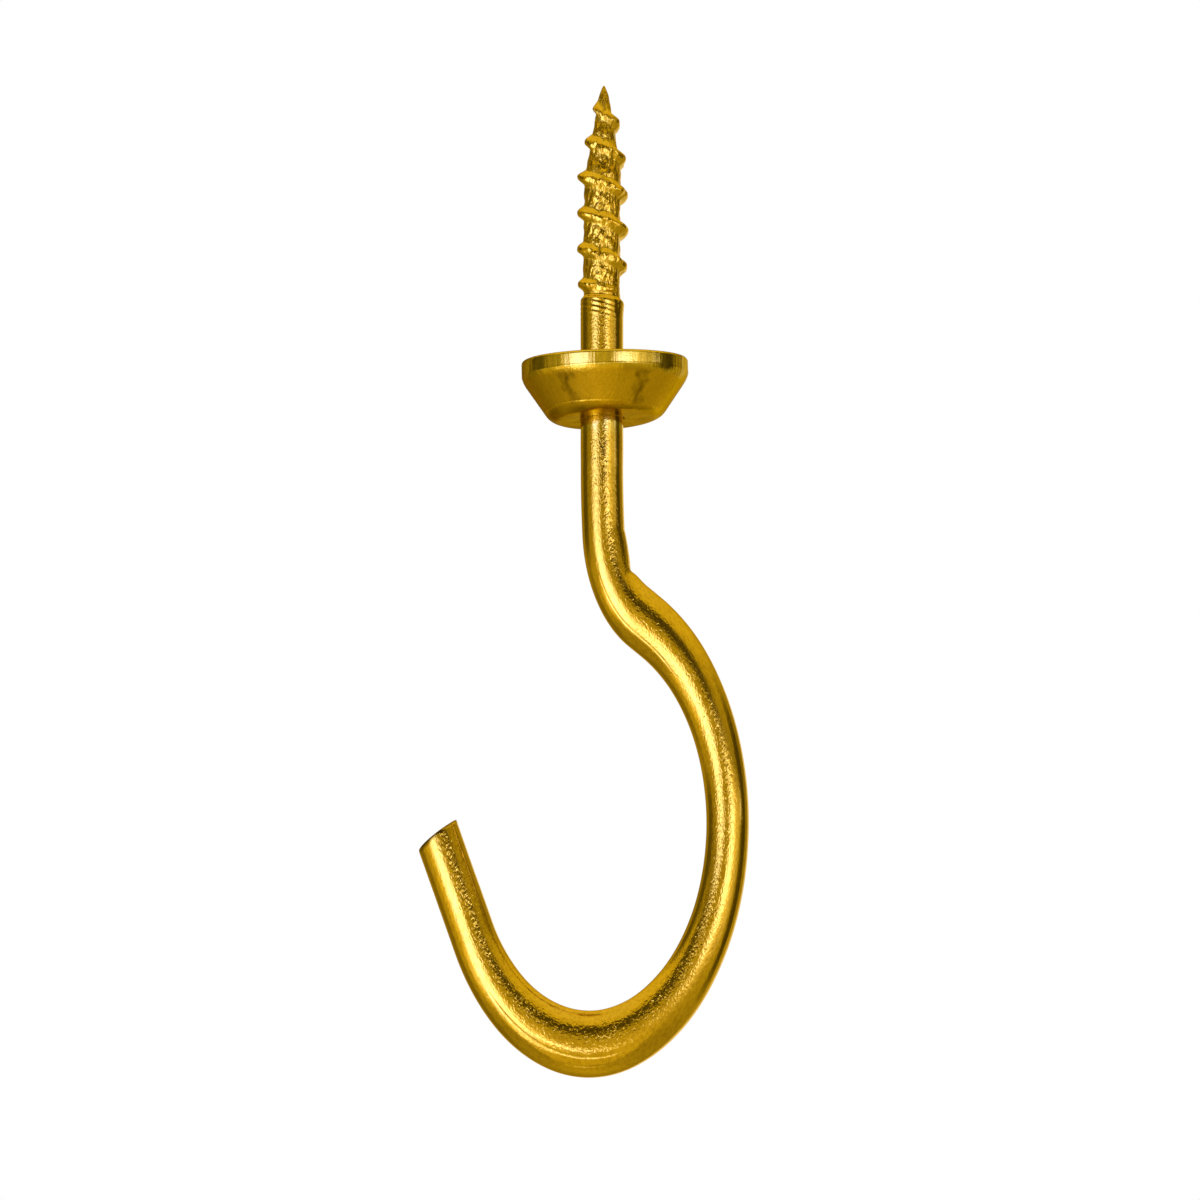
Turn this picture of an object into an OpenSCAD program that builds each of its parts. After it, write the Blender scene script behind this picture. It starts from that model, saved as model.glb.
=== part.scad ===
// Cup hook: a wire hook with a wood-screw end, bent from one wire, and a pressed sheet cup swaged on its shank.
// Z runs up along the screw, the hook lies in the XZ plane, and its open end points towards -X.
// The origin is the centre of the cup's rim, where the hook seats against the wood.

/* [Wire] */
// Diameter of the drawn wire
wire_d = 2.6; // [2.2:0.1:3.1]
// How far the bends are drawn out along Z: 1 is a round bend, more makes a deep bow with a deep section
draw_out = 1.6; // [1:0.05:1.8]

/* [Shank and jog] */
// Straight shank below the seat, down to where it starts to lean
shank_drop = 6.4; // [5:0.1:10]
// Radius of the slow lean above the jog, before drawing out
lean_r = 36; // [20:1:60]
// Angle of the slow lean
lean_angle = 4.2; // [2:0.1:8]
// Radius of the jog, which takes the wire out from under the screw
jog_r = 4; // [3:0.1:6]
// Angle of the jog
jog_angle = 58.3; // [45:0.1:65]
// Straight stretch between the jog and the bow
jog_run = 0.9; // [0.4:0.1:4]
// Depth of the crease that bending pinched into the inside of the jog
crease_d = 0.18; // [0.05:0.01:0.3]
// Length of wire that the crease takes up
crease_w = 1; // [0.6:0.1:1.6]

/* [Bow] */
// Radius of the bow, to the middle of the wire, before drawing out
bow_r = 8.63; // [7:0.01:11]
// Angle of the bow down to its bottom left
bow_angle = 135.2; // [120:0.1:145]
// Radius of the last stretch of the bow, which is a little tighter
toe_r = 8.07; // [6:0.01:11]
// Angle of that last stretch
toe_angle = 78.3; // [60:0.1:90]
// Length of the straight open arm, before drawing out
arm_len = 4.5; // [2:0.1:6]
// Angle of the sheared end from square
cut_skew = 3; // [0:1:15]

/* [Screw] */
// Height of the screw's point above the seat
screw_h = 17.4; // [15:0.1:24]
// Height of the plain shank above the seat
plain_h = 3.9; // [2.5:0.1:6]
// Diameter of the thread's core
core_d = 2.2; // [1.8:0.1:2.4]
// Height of the thread above its core
thread_h = 0.43; // [0.2:0.01:0.55]
// Width of the thread where it leaves the core
thread_w = 1; // [0.8:0.05:1.4]
// Distance from turn to turn
pitch = 2.25; // [1.8:0.05:3]
// Hand of the thread
thread_hand = -1; // [-1:Left, 1:Right]
// Length of the tapered point
taper_len = 5.7; // [4:0.1:8]
// Length of the sharp nose
nose_len = 0.75; // [0.5:0.05:1.2]
// Diameter where the nose meets the taper
nose_d = 0.6; // [0.4:0.05:0.9]

/* [Cup] */
// Diameter of the rim
cup_d = 10.2; // [8.5:0.1:14]
// Height of the cup
cup_h = 3.7; // [3:0.1:5]
// Thickness of the sheet
cup_wall = 0.5; // [0.4:0.05:0.7]
// Height of the upright band at the rim
band_h = 0.7; // [0.5:0.05:1]
// Lean of the flank from upright
flank_angle = 33; // [20:1:35]
// Outer radius of the round between the flank and the small end
heel_r = 1.9; // [1.4:0.1:2.2]
// Outer radius of the soft edge between the band and the flank
brow_r = 1.1; // [0.8:0.1:1.6]
// Radius of the rim's outer edge, which leaves a narrow flat land to seat on
lip_r = 0.25; // [0.1:0.05:0.3]

/* [Hidden] */

brass = "goldenrod";
plated_sheet = "darkgoldenrod";
wire_r = wire_d / 2;
cup_r = cup_d / 2;
hair = 0.01;            // the shank is this much thicker all round than the wire that is bent below it
shank_r = wire_r + hair;
shank_sides = 64;       // facets of the shank in a quick view
cup_sides = 128;        // and of the cup
overlap = 0.4;          // how deep the bent wire and the thread are rooted in the shank

// The bent wire, as stretches of [length along its middle, angle that it turns towards +X]
wire_sides = 32;
bend_step = 5;          // degrees of bend from ring to ring
JOG = 1;                // place of the jog among the stretches
function arc_len(radius, angle) = PI * radius * angle / 180;
stretches = [
    [arc_len(lean_r, lean_angle), lean_angle],
    [arc_len(jog_r, jog_angle), jog_angle],
    [jog_run, 0],
    [arc_len(bow_r, bow_angle), -bow_angle],
    [arc_len(toe_r, toe_angle), -toe_angle],
    [arm_len, 0]];

// A place on the wire is [x, z, heading]: a heading of 0 runs down, and one of 90 runs towards +X.
// This is where a stretch from place p has come to after a share u of it, by the chord of its arc.
function along(p, stretch, u) =
    let (turn = stretch[1] * u, run = stretch[0] * u, heading = p[2] + turn / 2,
        chord = turn == 0 ? run : run * sin(turn / 2) / (PI * turn / 360))
    [p[0] + chord * sin(heading), p[1] - chord * cos(heading), p[2] + turn];
function start_of(k) = k == 0 ? [0, 0, 0] : along(start_of(k - 1), stretches[k - 1], 1);

// How deep the crease is at a share u of the jog, where it is deepest halfway
function crease(u) = let (off = abs(u - 0.5) * stretches[JOG][0] / crease_w)
    off < 0.5 ? crease_d * (1 + cos(360 * off)) / 2 : 0;

// One section of the wire, drawn out along Z, with the crease on the side towards +X
function wire_ring(p, pinch) = [for (i = [0:wire_sides - 1])
    let (a = 360 * i / wire_sides, r = wire_r - pinch * pow(max(0, cos(a)), 4))
    [p[0] + r * cos(a) * cos(p[2]), -r * sin(a), draw_out * (p[1] + r * cos(a) * sin(p[2]))]];

// The screw
crest_z = 6.1;          // height of one crest on the +X side
thread_sides = 16;      // facets round the thread, and rings in each pitch
ring_step = pitch / thread_sides;
shoulder_h = 0.3;       // cone between the plain shank and the thread's core
thread_z = plain_h + shoulder_h;
fade_in = 0.6;          // the thread rises out of the core over this height
fade_out = 0.8;         // and sinks back into the nose over this one
taper_z = screw_h - taper_len;
nose_z = screw_h - nose_len;
nose_mid = screw_h - nose_len / 3;
mid_share = 0.44;       // the nose is blunt: this share of its radius is left at nose_mid
thread_top = nose_z + 0.3;
root_z = floor((thread_z - overlap) / ring_step) * ring_step;

// Radius of the thread's core at height z, and how much of the thread's height stands there
function core_r(z) = lookup(z, [[taper_z, core_d / 2], [nose_z, nose_d / 2],
    [nose_mid, mid_share * nose_d / 2], [screw_h, 0]]);
function stand(z) = min(1, max(0, (z - thread_z) / fade_in), max(0, (thread_top - z) / fade_out));

// How far height z lies from the nearest crest, at angle a round the screw
function off_crest(z, a) = let (u = (z - crest_z) / pitch - thread_hand * a / 360)
    pitch * abs(u - round(u));
function thread_r(z, a) = core_r(z)
    + thread_h * stand(z) * (1 + cos(180 * min(1, 2 * off_crest(z, a) / thread_w))) / 2;

// Points of an arc round c, from angle a0 to a1
arc_points = 8;
function arc(c, r, a0, a1) = [for (i = [0:arc_points]) let (a = a0 + (a1 - a0) * i / arc_points)
    c + r * [cos(a), sin(a)]];

// Half the cup's section, as the line of one face of the sheet, a distance "in" inside its outer face.
// It runs from the rim down the band, the brow, the flank and the heel to the flat of the small end.
heel_x = cup_r - brow_r + (brow_r - heel_r) * cos(flank_angle)
    - (cup_h - heel_r - band_h + (heel_r - brow_r) * sin(flank_angle)) * tan(flank_angle);
function cup_face(in) = concat(
    arc([cup_r - brow_r, -band_h], brow_r - in, 0, -flank_angle),
    arc([heel_x, heel_r - cup_h], heel_r - in, -flank_angle, -90));

// A closed skin over a row of rings with as many points each, and a middle point at either end.
// Its four-cornered patches are split along the way that a left-hand or a right-hand helix climbs.
module skin(rings, first, last, hand) {
    n = len(rings[0]);
    end = len(rings) - 1;
    points = concat([for (ring = rings) each ring], [first, last]);
    function at(i, j) = j * n + i % n;
    patches = [for (j = [0:end - 1]) for (i = [0:n - 1]) each hand < 0
        ? [[at(i, j), at(i, j + 1), at(i + 1, j)], [at(i + 1, j), at(i, j + 1), at(i + 1, j + 1)]]
        : [[at(i, j), at(i, j + 1), at(i + 1, j + 1)], [at(i, j), at(i + 1, j + 1), at(i + 1, j)]]];
    caps = [for (i = [0:n - 1]) each
        [[len(points) - 2, at(i, 0), at(i + 1, 0)], [len(points) - 1, at(i + 1, end), at(i, end)]]];
    polyhedron(points, concat(patches, caps), convexity = 6);
}

// The wire below the shank, through the lean, the jog and the bow to its sheared end
module bent_wire() {
    tip = start_of(len(stretches));
    rings = concat(
        [wire_ring([0, overlap / draw_out, 0], 0), wire_ring([0, 0, 0], 0)],
        [for (k = [0:len(stretches) - 1])
            let (start = start_of(k), parts = max(1, ceil(abs(stretches[k][1]) / bend_step)))
            for (i = [1:parts]) if (k < len(stretches) - 1)
                wire_ring(along(start, stretches[k], i / parts), k == JOG ? crease(i / parts) : 0)],
        [wire_ring([tip[0], tip[1], tip[2] - cut_skew], 0)]);
    translate([0, 0, -shank_drop])
        skin(rings, [0, 0, overlap], [tip[0], 0, draw_out * tip[1]], 1);
}

// The thread and its point
module thread() {
    ring_z = [each [root_z:ring_step:nose_z - ring_step / 2], nose_z, nose_mid];
    skin([for (z = ring_z) [for (i = [0:thread_sides - 1]) let (a = 360 * i / thread_sides)
            [thread_r(z, a) * cos(a), thread_r(z, a) * sin(a), z]]],
        [0, 0, root_z], [0, 0, screw_h], thread_hand);
}

module hook_wire() {
    color(brass) {
        translate([0, 0, -shank_drop]) cylinder(r = shank_r, h = shank_drop + plain_h, $fn = shank_sides);
        translate([0, 0, plain_h]) cylinder(r1 = shank_r, r2 = core_d / 2, h = shoulder_h, $fn = shank_sides);
        thread();
        bent_wire();
    }
}

// The cup is one sheet of even thickness, open upwards, with its small end closed on the shank
module cup() {
    outer = cup_face(0);
    inner = cup_face(cup_wall);
    lip = arc([cup_r - lip_r, -lip_r], lip_r, 90, 0);
    color(plated_sheet) rotate_extrude($fn = cup_sides) polygon(concat(
        lip, outer, [[shank_r, -cup_h], [shank_r, cup_wall - cup_h]],
        [for (i = [len(inner) - 1:-1:0]) inner[i]], [[cup_r - cup_wall, 0]]));
}

hook_wire();
cup();
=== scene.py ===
"""A plated cup hook in a small light tent: the bent wire with its screw, and the pressed cup on its shank."""

import logging
import math
from dataclasses import dataclass, field
from enum import Enum
from typing import Any, Callable, Iterable

import bmesh
import bpy
from bmesh.types import BMEdge, BMesh, BMVert
from mathutils import Matrix, Vector, noise


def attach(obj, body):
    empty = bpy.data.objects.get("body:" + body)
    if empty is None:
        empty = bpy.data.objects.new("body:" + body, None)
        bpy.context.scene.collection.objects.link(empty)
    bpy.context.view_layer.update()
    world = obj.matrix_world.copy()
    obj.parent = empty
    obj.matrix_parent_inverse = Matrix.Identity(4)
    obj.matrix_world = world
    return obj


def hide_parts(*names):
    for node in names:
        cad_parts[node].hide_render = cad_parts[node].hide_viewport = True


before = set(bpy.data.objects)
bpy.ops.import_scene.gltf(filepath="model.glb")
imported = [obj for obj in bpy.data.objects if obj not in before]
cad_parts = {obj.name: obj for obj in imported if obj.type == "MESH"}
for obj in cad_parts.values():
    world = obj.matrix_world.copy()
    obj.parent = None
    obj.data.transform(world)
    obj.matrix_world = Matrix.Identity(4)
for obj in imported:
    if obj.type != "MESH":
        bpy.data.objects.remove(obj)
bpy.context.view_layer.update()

LOG = logging.getLogger("cup_hook")
MILLIMETRE = 0.001
WELD = 0.0005  # vertices that are nearer to each other than this, in mm, become one
NEAR = 0.1  # open edges are looked for this near to a cut, in mm
ON_PLANE = 1e-5  # vertices this near to a cutting plane, in mm, lie on it

Socket = bpy.types.NodeSocket
Ring = tuple[list[BMVert], list[BMEdge]]
Span = tuple[float, float]  # where a smooth change starts and ends
Stops = tuple[tuple[float, float], ...]  # a ramp's places and levels, from low to high
Spot = tuple[float, float, float]  # x, z and heading of a place on the bent wire, before drawing out
Colour = tuple[float, float, float]
WHITE: Colour = (1.0, 1.0, 1.0)


class Hand(Enum):
    """Which way a thread climbs, as the sign of its rise over a turn to the left."""

    LEFT = -1
    RIGHT = 1


class Straight(Enum):
    """Names of the attributes that lay a bent wire out straight, for patterns that follow it."""

    PLACE = "straight"
    GRAIN = "grain"
    # painted light: where the wire's colour is painted paler
    TUCK = "tuck"
    TARNISH = "tarnish"


class Part(Enum):
    """The stretches of the wire below its straight shank, down to the open end."""

    LEAN = "lean"
    JOG = "jog"
    RUN = "run"
    BOW = "bow"
    TOE = "toe"
    ARM = "arm"


# ---------------------------------------------------------------- helpers


def smooth_step(low: float, high: float, value: float) -> float:
    """Rise smoothly from 0 at low to 1 at high.

    Args:
        low: Where the rise starts.
        high: Where it ends; it may lie below low, for a fall.
        value: Where to read it.

    Returns:
        The height of the rise at value, from 0 to 1.
    """
    share = min(1.0, max(0.0, (value - low) / (high - low)))
    return share * share * (3.0 - 2.0 * share)


@dataclass(frozen=True)
class Mark:
    """A rounded mark: where it is centred, how far it fades on either side, and how strong it is."""

    centre: float
    width: float
    strength: float = 1.0

    def at(self, value: float) -> float:
        """Return how strong the mark is at a value."""
        return self.strength * math.exp(-(((value - self.centre) / self.width) ** 2))


@dataclass(frozen=True)
class Waver:
    """Smooth unevenness: its height, the size of its lumps, a seed, and its scale along Z."""

    height: float
    size: float
    seed: float
    along: float = 1.0

    def at(self, place: Vector) -> float:
        """Return the unevenness at a place, between about minus and plus its height."""
        here = Vector((place.x, place.y, place.z * self.along))
        return self.height * noise.noise(here / self.size + Vector((self.seed, 2.0 * self.seed, -self.seed)))


def of_kind(geom: Iterable[Any], kind: type) -> list[Any]:
    """Return the parts of an operator's result that are of one kind."""
    return [part for part in geom if isinstance(part, kind)]


def extrude_ring(bm: BMesh, ring: Ring) -> Ring:
    """Extrude an open ring of edges in place.

    Args:
        bm: The mesh.
        ring: The ring's vertices and edges.

    Returns:
        The new ring, which still lies on the old one, with its vertices in the same order.
    """
    verts, edges = ring
    made = bmesh.ops.extrude_edge_only(bm, edges=edges)["geom"]
    fresh = set(of_kind(made, BMVert))
    ordered = [next(e.other_vert(v) for e in v.link_edges if e.other_vert(v) in fresh) for v in verts]
    return ordered, [e for e in of_kind(made, BMEdge) if fresh.issuperset(e.verts)]


def boundary_at(bm: BMesh, test: Callable[[Vector], bool]) -> list[BMEdge]:
    """Return the open edges whose middles pass a test."""
    return [e for e in bm.edges if e.is_boundary and test((e.verts[0].co + e.verts[1].co) / 2)]


def to_object(bm: BMesh, name: str, material: bpy.types.Material) -> bpy.types.Object:
    """Turn a mesh into an object of the scene, at the origin.

    Args:
        bm: The mesh, in metres, which is freed.
        name: The object's name.
        material: Its finish.

    Returns:
        The object.
    """
    mesh = bpy.data.meshes.new(name)
    bm.to_mesh(mesh)
    bm.free()
    mesh.materials.append(material)
    made = bpy.data.objects.new(name, mesh)
    bpy.context.scene.collection.objects.link(made)
    return made


def finish_mesh(bm: BMesh, name: str, material: bpy.types.Material) -> bpy.types.Object:
    """Turn a closed mesh in millimetres into a smooth object in metres.

    Args:
        bm: The mesh, which is freed.
        name: The object's name.
        material: Its finish.

    Returns:
        The object, at the origin.
    """
    bmesh.ops.scale(bm, vec=Vector((MILLIMETRE,) * 3), verts=bm.verts)
    bmesh.ops.recalc_face_normals(bm, faces=bm.faces)
    for face in bm.faces:
        face.smooth = True
    return to_object(bm, name, material)


class Nodes:
    """Puts a node tree together in few words."""

    def __init__(self, tree: bpy.types.NodeTree) -> None:
        """Take a tree and empty it."""
        self.tree = tree
        tree.nodes.clear()

    def add(self, kind: str, inputs: dict[Any, Any] | None = None, **settings: Any) -> bpy.types.Node:
        """Add a node.

        Args:
            kind: The node's type, without the ShaderNode in front of it.
            inputs: Values or sockets for its inputs, by name or number.
            **settings: Values for the node's own properties.

        Returns:
            The node.
        """
        made = self.tree.nodes.new("ShaderNode" + kind)
        for name, value in settings.items():
            setattr(made, name, value)
        for name, value in (inputs or {}).items():
            if isinstance(value, Socket):
                self.tree.links.new(value, made.inputs[name])
            else:
                made.inputs[name].default_value = value
        return made

    def math(self, operation: str, *values: Any, clamp: bool = False) -> Socket:
        """Return the result of a sum on numbers or sockets."""
        return self.add("Math", dict(enumerate(values)), operation=operation, use_clamp=clamp).outputs[0]

    def between(self, value: Socket, low: float, high: float, *ends: float, smooth: bool = False) -> Socket:
        """Bring a number that runs from low to high to run from 0 to 1.

        Args:
            value: The number.
            low: Where it starts.
            high: Where it ends.
            *ends: What it becomes at low and at high, if not 0 and 1.
            smooth: Whether it eases in and out.

        Returns:
            The new number, which stays at its ends beyond low and high.
        """
        inputs = dict(enumerate((value, low, high, *ends)))
        kind = "SMOOTHSTEP" if smooth else "LINEAR"
        return self.add("MapRange", inputs, interpolation_type=kind).outputs[0]

    def ramp(self, value: Socket, *stops: tuple[float, float]) -> Socket:
        """Map a number through straight stretches.

        Args:
            value: The number to map.
            *stops: Pairs of a number and what it becomes, from low to high.

        Returns:
            The mapped number.
        """
        made = self.add("ValToRGB", {0: value})
        elements = made.color_ramp.elements
        while len(elements) < len(stops):
            elements.new(0.5)
        for element, (place, level) in zip(elements, stops):
            element.position = place
            element.color = (level, level, level, 1.0)
        return self.add("SeparateColor", {0: made.outputs[0]}).outputs[0]

    def stretch(self, where: Socket, size: tuple[float, float, float]) -> Socket:
        """Scale a place by axis, which stretches a pattern that reads it."""
        return self.add("Mapping", {"Vector": where, "Scale": size}).outputs[0]

    def blend(self, share: Any, low: Any, high: Any) -> Socket:
        """Mix two colours, each written out or a socket."""
        whole = {k: v if isinstance(v, Socket) else (*v, 1.0) for k, v in ((6, low), (7, high))}
        return self.add("Mix", {0: share, **whole}, data_type="RGBA").outputs[2]

    def reading(self, attribute: Straight, output: str = "Fac") -> Socket:
        """Return what an attribute of the straightened wire says."""
        return self.add("Attribute", attribute_name=attribute.value).outputs[output]

    def angle(self, apart: bpy.types.Node) -> Socket:
        """Return the angle round Z, from the front towards +X, of a place that a node takes apart."""
        return self.math("ARCTAN2", apart.outputs[0], self.math("MULTIPLY", apart.outputs[1], -1.0))

    def relief(self, height: Socket) -> Socket:
        """Return the normal of a surface whose height is in millimetres."""
        return self.add("Bump", {"Height": height, "Distance": MILLIMETRE, "Strength": 1.0}).outputs[0]


def blank_material(name: str) -> tuple[bpy.types.Material, Nodes]:
    """Make a material that has no nodes yet.

    Args:
        name: The material's name.

    Returns:
        The material, and the means to put its nodes together.
    """
    made = bpy.data.materials.new(name)
    made.use_nodes = True
    return made, Nodes(made.node_tree)


# ---------------------------------------------------------------- finishes


@dataclass(frozen=True)
class Pattern:
    """Noise over a finish: lumps a metre, its scale along Z, its fineness, its height in mm, and a ramp."""

    lumps: float
    along: float = 1.0
    detail: float = 2.0
    height: float = 0.0
    stops: Stops = ()

    def on(self, n: Nodes, place: Socket) -> Socket:
        """Return the pattern at a place.

        Args:
            n: The material's nodes.
            place: The place, in metres.

        Returns:
            Its level, through its ramp if it has one.
        """
        where = n.stretch(place, (1.0, 1.0, self.along))
        level = n.add("TexNoise", {"Vector": where, "Scale": self.lumps, "Detail": self.detail}).outputs[0]
        return n.ramp(level, *self.stops) if self.stops else level

    def over(self, n: Nodes, place: Socket, below: Any) -> Socket:
        """Return a height in mm with the pattern's own height laid over it."""
        return n.math("MULTIPLY_ADD", self.on(n, place), self.height, below)


@dataclass(frozen=True)
class Scratch:
    """A long scratch on the straightened wire, in mm and radians.

    An angle of 0 is the wire's front, and +X lies at 90 degrees. The drift is the turn over a millimetre.
    """

    middle: float
    reach: float
    angle: float
    drift: float
    depth: float = 0.02
    width: float = 0.06
    fade: float = 1.5

    def height(self, n: Nodes, run: Socket, angle: Socket) -> Socket:
        """Return the height of the surface in the scratch.

        Args:
            n: The material's nodes.
            run: Height on the straightened wire, in millimetres.
            angle: Angle round it.

        Returns:
            The height in millimetres, 0 away from the scratch.
        """
        aim = n.math("MULTIPLY_ADD", run, self.drift, self.angle - self.drift * self.middle)
        off = n.math("ABSOLUTE", n.math("SUBTRACT", angle, aim))
        away = n.math("ABSOLUTE", n.math("SUBTRACT", run, self.middle))
        sunk = n.between(away, self.reach - self.fade, self.reach, -self.depth, 0.0)
        return n.math("MULTIPLY", n.ramp(off, (0.0, 1.0), (self.width, 0.0)), sunk)


@dataclass(frozen=True)
class WirePlate:
    """Bright yellow plating over drawn wire, with draw lines, grain, small pits and a few long scratches."""

    gold: Colour = (1.0, 0.74, 0.24)
    olive: Colour = (0.94, 0.70, 0.20)
    rolled: Colour = (1.0, 0.74, 0.20)
    # painted light: paler colour between the thread's ridges, where they reflect each other's orange
    painted_hollow_light: Colour = (1.0, 0.76, 0.23)
    worn: Colour = (0.91, 0.60, 0.11)
    # painted light: the wire paler just below the cup, where it reflects the cup's dark underside
    painted_neck_light: Colour = (1.0, 0.91, 0.58)
    speck: Colour = (0.72, 0.50, 0.11)
    tarnish: Colour = (0.15, 0.09, 0.01)
    edge: Colour = (1.0, 0.80, 0.30)
    toning: Stops = ((0.35, 0.0), (0.65, 1.0))
    roughness: float = 0.13
    patchiness: float = 0.1
    thread_roughness: float = 0.04
    tuck_roughness: float = 0.10
    coat: float = 0.7
    coat_roughness: float = 0.05
    coat_ior: float = 1.35
    thread_foot: Span = (4.1, 4.6)
    plain_specks: float = 0.9
    thread_specks: float = 0.3
    draw_lines: Pattern = Pattern(3600.0, along=0.02, detail=3.0, height=0.007)
    lumps: Pattern = Pattern(1300.0, along=0.6, height=0.009)
    grain: Pattern = Pattern(9500.0, along=0.7, detail=1.0, height=0.017)
    pits: Pattern = Pattern(7000.0, along=0.6, detail=1.0, height=-0.008, stops=((0.28, 1.0), (0.42, 0.0)))
    hammering: Pattern = Pattern(3100.0, along=0.5, height=0.125)
    specks: Pattern = Pattern(6500.0, along=0.7, stops=((0.34, 0.8), (0.58, 0.0)))
    rubs: Pattern = Pattern(2600.0, along=0.6, stops=((0.38, 0.9), (0.60, 0.0)))
    scratches: tuple[Scratch, ...] = (
        Scratch(middle=-38.8, reach=4.8, angle=0.525, drift=0.004),
        Scratch(middle=-13.5, reach=3.4, angle=-0.63, drift=0.014, depth=0.009),
    )

    def height(self, n: Nodes, laid: Socket, place: Socket, on_thread: Socket) -> Socket:
        """Return the height of the surface.

        Args:
            n: The material's nodes.
            laid: The place on the straightened wire, in millimetres.
            place: The same place in metres.
            on_thread: 1 on the thread and 0 on the plain wire.

        Returns:
            The height in millimetres.
        """
        grain = self.grain.over(n, place, self.pits.over(n, place, 0.0))
        grain = n.math("MULTIPLY", n.reading(Straight.GRAIN), grain)
        height = self.draw_lines.over(n, place, self.lumps.over(n, place, grain))
        apart = n.add("SeparateXYZ", {0: laid})
        angle = n.angle(apart)
        for scratch in self.scratches:
            height = n.math("ADD", height, scratch.height(n, apart.outputs[2], angle))
        hammered = n.math("MULTIPLY", self.hammering.on(n, place), on_thread)
        return n.math("MULTIPLY_ADD", hammered, self.hammering.height, height)

    def colour(self, n: Nodes, place: Socket, on_thread: Socket, patch: Socket, tuck: Socket) -> Socket:
        """Return the colour of the plating.

        Args:
            n: The material's nodes.
            place: The place on the straightened wire, in metres.
            on_thread: 1 on the thread and 0 on the plain wire.
            patch: How heavy the plating is.
            tuck: 1 where the wire is tucked away, under the thread's ridges and below the cup, where its
                colour is painted paler as painted light.

        Returns:
            The colour.
        """
        plain = n.blend(n.ramp(patch, *self.toning), self.olive, self.gold)
        ridges = n.blend(self.rubs.on(n, place), self.rolled, self.worn)
        # painted light: paler colour where the wire is tucked away, below the cup and between the ridges
        clean = n.blend(on_thread, n.blend(tuck, plain, self.painted_neck_light), n.blend(tuck, ridges, self.painted_hollow_light))
        share = n.math("MULTIPLY_ADD", on_thread, self.thread_specks - self.plain_specks, self.plain_specks)
        specks = n.math("MULTIPLY", self.specks.on(n, place), share)
        return n.blend(n.reading(Straight.TARNISH), n.blend(specks, clean, self.speck), self.tarnish)

    def material(self) -> bpy.types.Material:
        """Return the finish, which reads the attributes that lay the wire out straight.

        Returns:
            The material.
        """
        made, n = blank_material("wire_plate")
        laid = n.reading(Straight.PLACE, "Vector")
        place = n.add("VectorMath", {0: laid, "Scale": MILLIMETRE}, operation="SCALE").outputs[0]
        on_thread = n.between(n.add("SeparateXYZ", {0: laid}).outputs[2], *self.thread_foot)
        patch = self.lumps.on(n, place)
        tuck = n.reading(Straight.TUCK)
        rolled = n.math("MULTIPLY_ADD", tuck, self.tuck_roughness, self.thread_roughness)
        plain = n.math("MULTIPLY_ADD", patch, self.patchiness, self.roughness - self.patchiness / 2)
        shader = n.add("BsdfPrincipled", {
            "Base Color": self.colour(n, place, on_thread, patch, tuck), "Metallic": 1.0,
            "Roughness": n.math("ADD", n.math("MULTIPLY", on_thread, rolled), plain),
            "Normal": n.relief(self.height(n, laid, place, on_thread)), "Specular Tint": (*self.edge, 1.0),
            "Coat Weight": self.coat, "Coat Roughness": self.coat_roughness, "Coat IOR": self.coat_ior})
        n.add("OutputMaterial", {0: shader.outputs[0]})
        return made


@dataclass(frozen=True)
class OnCup:
    """What the cup's finish reads at a place: where it lies on the cup, and the patterns there."""

    depth: Socket
    angle: Socket
    flank: Socket
    band: Socket
    beneath: Socket
    by_hole: Socket
    streaks: Socket
    scored: Socket
    grain: Socket
    mottle: Socket
    speckle: Socket
    broken: Socket


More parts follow.
